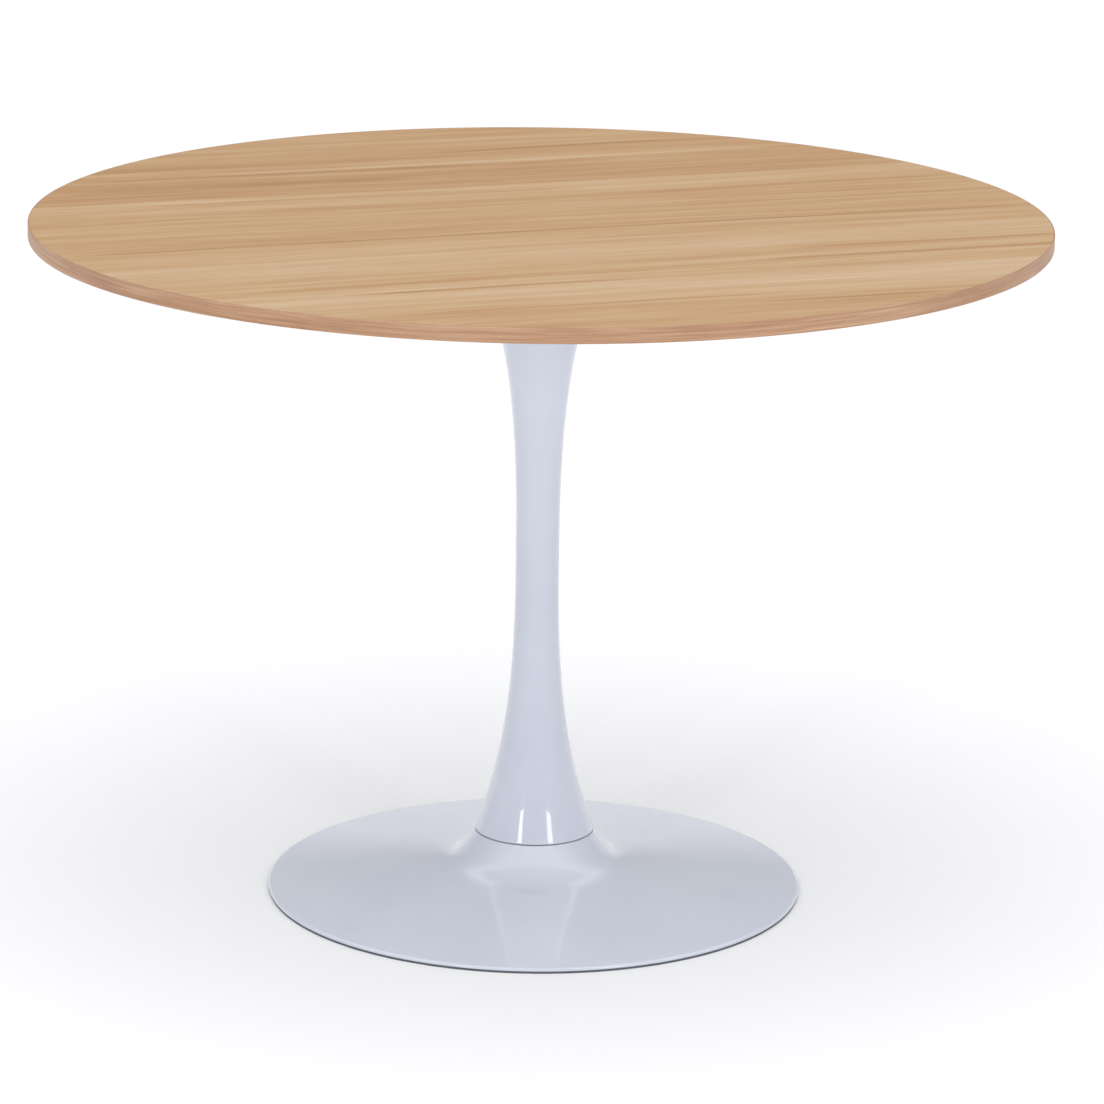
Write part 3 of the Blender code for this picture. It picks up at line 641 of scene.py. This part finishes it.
shade = add(oak, "MapRange", {"Value": shade, "From Min": 0.56, "From Max": 1.66})["Result"]
colour = add(oak, "ValToRGB", {"Fac": shade}, stops=[
    (0.05, srgb("#8f6431")), (0.30, srgb("#a67a46")), (0.52, srgb("#b38e61")), (0.75, srgb("#bda07c")),
    (0.97, srgb("#cbb391"))])["Color"]
rough = add(oak, "MapRange", {"Value": fibre, "To Min": 0.42, "To Max": 0.58})["Result"]
relief = add(oak, "Math", {0: pore, 1: -1.0, 2: fibre}, operation="MULTIPLY_ADD")["Value"]
bump = add(oak, "Bump", {"Height": relief, "Strength": 0.18, "Distance": 0.12 * MM})["Normal"]
finish("oak_effect_melamine", {"Base Color": colour, "Roughness": rough, "Normal": bump})
face.data.materials.append(oak)

edge = softened([(face_radius, band_low.z), (band_high.x, band_low.z), (band_high.x, band_high.z),
                 (face_radius, band_high.z)], [0.1 * MM, EDGE_EASE, EDGE_EASE, 0.1 * MM], steps=6)
band = skin("oak_edging", turned(edge, 288))
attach(band, "root")
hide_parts("tabletop_edge_band")

# ABS edging, printed with the same oak: lines 2.4 mm apart run round the edge, and the print is a little
# pinker. A darker glue line shows where it meets the face.
edging = finish("oak_effect_abs_edging", {"Metallic": 0.0, "IOR": 1.5})
place = add(edging, "TexCoord", {})["Object"]
run = add(edging, "Mapping", {"Vector": place, "Scale": per_metre(111.11, 111.11, 2.381)})["Vector"]
print_lines = add(edging, "TexNoise", {
    "Vector": run, "Scale": 1.0, "Detail": 4.0, "Roughness": 0.6})["Fac"]
patch = add(edging, "TexNoise", {"Vector": place, "Scale": 1 / (160 * MM), "Detail": 2.0})["Fac"]
reach = add(edging, "VectorMath", {0: place, 1: (1.0, 1.0, 0.0)}, operation="MULTIPLY")["Vector"]
reach = add(edging, "VectorMath", {0: reach}, operation="LENGTH")["Value"]
glue = add(edging, "MapRange", {"Value": reach, "From Min": face_radius + 0.5 * MM,
                                "From Max": face_radius + 0.3 * MM})["Result"]
shade = add(edging, "Math", {0: patch, 1: 0.5, 2: print_lines}, operation="MULTIPLY_ADD")["Value"]
shade = add(edging, "Math", {0: glue, 1: -0.5, 2: shade}, operation="MULTIPLY_ADD")["Value"]
colour = add(edging, "ValToRGB", {"Fac": shade}, stops=[
    (0.0, srgb("#5f4029")), (0.42, srgb("#8e6446")), (0.72, srgb("#a67d5e")),
    (0.98, srgb("#bb997a"))])["Color"]
rough = add(edging, "MapRange", {"Value": print_lines, "To Min": 0.40, "To Max": 0.55})["Result"]
finish("oak_effect_abs_edging", {"Base Color": colour, "Roughness": rough})
band.data.materials.append(edging)

# The balancing sheet: white melamine with a fine pearl texture, about 1.5 mm.
melamine = finish("white_melamine_sheet", {"Metallic": 0.0, "IOR": 1.5})
place = add(melamine, "TexCoord", {})["Object"]
pearl = add(melamine, "TexVoronoi", {
    "Vector": place, "Scale": 1 / (1.5 * MM)}, feature="SMOOTH_F1")["Distance"]
tone = add(melamine, "ValToRGB", {"Fac": pearl}, stops=[
    (0.2, srgb("#dcdcd8")), (0.8, srgb("#e2e2de"))])["Color"]
rough = add(melamine, "MapRange", {"Value": pearl, "To Min": 0.38, "To Max": 0.5})["Result"]
pits = add(melamine, "Bump", {"Height": pearl, "Strength": 0.15, "Distance": 0.08 * MM})["Normal"]
finish("white_melamine_sheet", {"Base Color": tone, "Roughness": rough, "Normal": pits})

# Medium-density fibreboard, sawn and routed: dull brown, with short fibres about 1 mm long.
fibreboard = finish("medium_density_fibreboard", {"Metallic": 0.0, "IOR": 1.5})
place = add(fibreboard, "TexCoord", {})["Object"]
fibres = add(fibreboard, "TexNoise", {"Vector": place, "Scale": 1 / (1.0 * MM), "Detail": 5.0})["Fac"]
tone = add(fibreboard, "ValToRGB", {"Fac": fibres}, stops=[
    (0.3, srgb("#8f7350")), (0.7, srgb("#b0946c"))])["Color"]
rough = add(fibreboard, "MapRange", {"Value": fibres, "To Min": 0.8, "To Max": 0.95})["Result"]
finish("medium_density_fibreboard", {"Base Color": tone, "Roughness": rough})

# The core, the balancing sheet and the eight threaded inserts keep their shapes from model.glb.
SCREW_COUNT = 8
kept_nodes = [("tabletop_core", fibreboard), ("tabletop_backing_sheet", melamine)]
kept_nodes += [(f"insert_nut_{number}", zinc) for number in range(1, SCREW_COUNT + 1)]
for node, made in kept_nodes:
    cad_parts[node].data.materials.clear()
    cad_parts[node].data.materials.append(made)


# ---- Board screws ----
# Eight M6 button-head screws with a hexagon socket go up through the arms into the board's inserts.
# They are cold headed and zinc plated, with the head inside the channel.
HEAD_HEIGHT = 3.4 * MM
HEAD_RADIUS = 6.0 * MM
HEAD_EDGE = 0.5 * MM
SHANK_RADIUS = 2.6 * MM
SHANK_TIP = 0.8 * MM
SOCKET_RADIUS = 2.3 * MM
SOCKET_DEPTH = 2.0 * MM
SOCKET_EASE = 0.2 * MM


def button_screw(centre, seat, tip, sides=48):
    """A screw, head down: rings from the hexagon socket's floor out over the head, whose dome is part
    of an ellipse, and up the shank to its tapered tip."""
    turn = full_turn(sides)
    socket = hexagon(turn, SOCKET_RADIUS * math.cos(math.tau / 12))
    dome = np.linspace(math.radians(68), 0, 7)
    crown = HEAD_RADIUS / 2 * (1 + np.cos(dome))
    fall = seat - HEAD_EDGE - (HEAD_HEIGHT - HEAD_EDGE) * np.sin(dome) / np.sin(dome[0])
    rows = [0.0, socket, socket, 1.1 * socket + SOCKET_EASE, *crown, HEAD_RADIUS, SHANK_RADIUS,
            SHANK_RADIUS, 0.7 * SHANK_RADIUS, 0.0]
    radius = np.stack([row + 0 * turn for row in rows])
    lip = seat - HEAD_HEIGHT
    floor = lip + SOCKET_DEPTH
    height = np.concatenate([[floor, floor, lip + SOCKET_EASE, lip], fall,
                             [seat, seat, tip - SHANK_TIP, tip, tip]])
    return about_axis(radius, turn, height[:, None]) + [centre.x, centre.y, 0]


for number in range(1, SCREW_COUNT + 1):
    low, high = box(f"top_screw_{number}")
    screw = skin(f"button_screw_{number}", button_screw((low + high) / 2, low.z + HEAD_HEIGHT, high.z),
                 wrap_rows=False, sharp=30.0)
    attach(screw, "root")
    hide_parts(f"top_screw_{number}")
    screw.data.materials.append(zinc)


# ---- Studio ----
# A wide, pale, matt floor, soft light from all round and above, and two tall strip lights low in front
# of the table, which draw the two bright lines on the column's lower flare.
FLOOR_RADIUS = 60.0
floor_outline = np.array([(0.0, 0.0), (3.0, 0.0), (FLOOR_RADIUS, 0.0)])
floor = skin("studio_floor", turned(floor_outline, 64), wrap_rows=False)
paper = finish("matt_white_paper", {
    "Base Color": srgb("#eaeaeb"), "Roughness": 0.9, "Specular IOR Level": 0.2})
floor.data.materials.append(paper)
if floor.data.polygons[0].normal.z < 0:
    floor.data.flip_normals()

# The air is bright along the horizon, brightest overhead and dim between the two, and all of it is
# stronger on the camera's side, as in a white room with its light banks beside the camera.
AIR_POWER, AIR_FRONT = 1.64, 0.50
air = bpy.data.worlds.new("studio_air")
air.use_nodes = True
heading = add(air, "SeparateXYZ", {"Vector": add(air, "TexCoord", {})["Generated"]})
climb = add(air, "MapRange", {"Value": heading["Z"], "From Min": 0.0, "From Max": 1.0})["Result"]
sky = add(air, "ValToRGB", {"Fac": climb}, stops=[
    (0.0, srgb("#bfc0c3")), (0.16, srgb("#bfc0c3")), (0.26, srgb("#8d8e91")), (0.56, srgb("#8d8e91")),
    (0.72, srgb("#ffffff"))])["Color"]
front = add(air, "MapRange", {"Value": heading["Y"], "From Min": 0.15, "From Max": -0.9})["Result"]
power = add(air, "Math", {0: front, 1: AIR_FRONT, 2: AIR_POWER}, operation="MULTIPLY_ADD")["Value"]
wire(air, air.node_tree.nodes["Background"], {"Color": sky, "Strength": power})
bpy.context.scene.world = air

STRIP_DISTANCE = 3.0
STRIP_RISE = math.radians(23.5)
STRIP_TARGET = 0.1


def strip(name, bearing, size, watts):
    """A rectangular light, aimed low on the table's axis: bearing is degrees from the camera's side."""
    lamp = bpy.data.lights.new(name, "AREA")
    lamp.shape = "RECTANGLE"
    lamp.size, lamp.size_y = size
    lamp.energy = watts
    held = bpy.data.objects.new(name, lamp)
    bpy.context.scene.collection.objects.link(held)
    turn = math.radians(bearing)
    level = STRIP_DISTANCE * math.cos(STRIP_RISE)
    held.location = (level * math.sin(turn), -level * math.cos(turn), STRIP_DISTANCE * math.sin(STRIP_RISE))
    aim = Vector((0, 0, STRIP_TARGET)) - held.location
    held.rotation_euler = aim.to_track_quat("-Z", "Y").to_euler()


strip("strip_left", bearing=-28.5, size=(0.34, 0.72), watts=8.5)
strip("strip_right", bearing=32.5, size=(0.50, 0.72), watts=9.5)

CAMERA_DISTANCE, CAMERA_HEIGHT = 5.2883, 1.8017
CAMERA_PAN, CAMERA_TILT, CAMERA_ROLL = -0.0030, 0.2621, 0.0131
CAMERA_LENS, CAMERA_SENSOR = 163.1, 36.0
CAMERA_RANGE = 200.0
camera = bpy.data.cameras.new("camera")
camera.lens = CAMERA_LENS
camera.sensor_width = CAMERA_SENSOR
camera.clip_end = CAMERA_RANGE
viewer = bpy.data.objects.new("camera", camera)
bpy.context.scene.collection.objects.link(viewer)
viewer.matrix_world = (Matrix.Translation((0, -CAMERA_DISTANCE, CAMERA_HEIGHT))
                       @ Matrix.Rotation(CAMERA_PAN, 4, "Z")
                       @ Matrix.Rotation(math.pi / 2 - CAMERA_TILT, 4, "X")
                       @ Matrix.Rotation(CAMERA_ROLL, 4, "Z"))
bpy.context.scene.camera = viewer
bpy.context.scene.view_settings.view_transform = "Standard"
